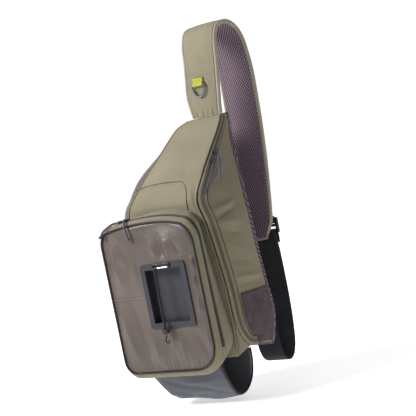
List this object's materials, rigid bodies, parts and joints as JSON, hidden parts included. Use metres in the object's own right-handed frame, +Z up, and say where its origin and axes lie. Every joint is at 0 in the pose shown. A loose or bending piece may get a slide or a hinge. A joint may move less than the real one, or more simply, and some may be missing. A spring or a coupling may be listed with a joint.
{
  "type": "fishing tackle sling bag",
  "caption": "Teardrop sling bag for fishing with a box front pocket, a recessed fly dock, a bottle sleeve under the base and one wide padded shoulder strap.",
  "frame": {"origin": "the underside of the strap's crest, where the bag hangs", "axes": "+X the viewer's right of the outer face, -Y the outer face, +Z up"},
  "size_m": [0.2804, 0.3141, 0.6831],
  "materials": {
    "khaki": "woven nylon, matt",
    "coated": "coated nylon, satin",
    "binding": "ribbed binding tape",
    "mesh": "padded air mesh",
    "sleeve": "smooth stretch nylon",
    "zip_black": "coil zip and piping tape",
    "webbing": "woven webbing",
    "cord": "braided cord",
    "fleece": "short fleece",
    "lime": "woven tape",
    "dock": "moulded, fine grain",
    "buckle": "moulded",
    "wire": "black coat on bent wire",
    "slider": "satin slate coat",
    "ring_metal": "satin slate-blue coat"
  },
  "bodies": {
    "bag": {"main_front_panel": "khaki", "back_panel": "mesh", "side_panel_right": "khaki", "side_panel_left": "coated", "base_panel": "khaki", "top_yoke": "khaki", "main_zip_strip": "khaki", "main_zip_coil": "zip_black", "fly_patch": "fleece", "pocket_rim": "khaki", "pocket_boxing": "khaki", "pocket_zip": "zip_black", "pocket_bottom_band": "khaki", "pocket_piping": "zip_black", "fly_dock": "dock", "pocket_front_panel": "coated", "tippet_clip": "wire", "tippet_cord": "cord", "tippet_toggle": "dock", "tippet_hook": "wire", "shoulder_strap": "khaki", "strap_lining": "mesh", "strap_binding_left": "binding", "strap_binding_right": "binding", "strap_binding_end": "binding", "ring_tab": "lime", "strap_buckle": "buckle", "buckle_tape": "lime", "strap_webbing": "webbing", "anchor_wing": "khaki", "bottle_sleeve": "sleeve", "sleeve_binding": "zip_black", "main_slider_upper": "slider", "main_slider_lower": "slider", "pocket_slider_left": "slider", "pocket_slider_right": "slider", "main_pull_upper": "cord", "main_pull_lower": "cord", "pocket_pull_left": "cord", "pocket_pull_right": "cord"},
    "ring": {"d_ring": "ring_metal"}
  },
  "joints": [
    {"name": "ring_swing", "type": "hinge", "parent": "bag", "child": "ring", "pos_m": [-0.015, -0.04935, -0.1012], "axis": [-1, 0, 0], "range_deg": [0, 150]}
  ]
}
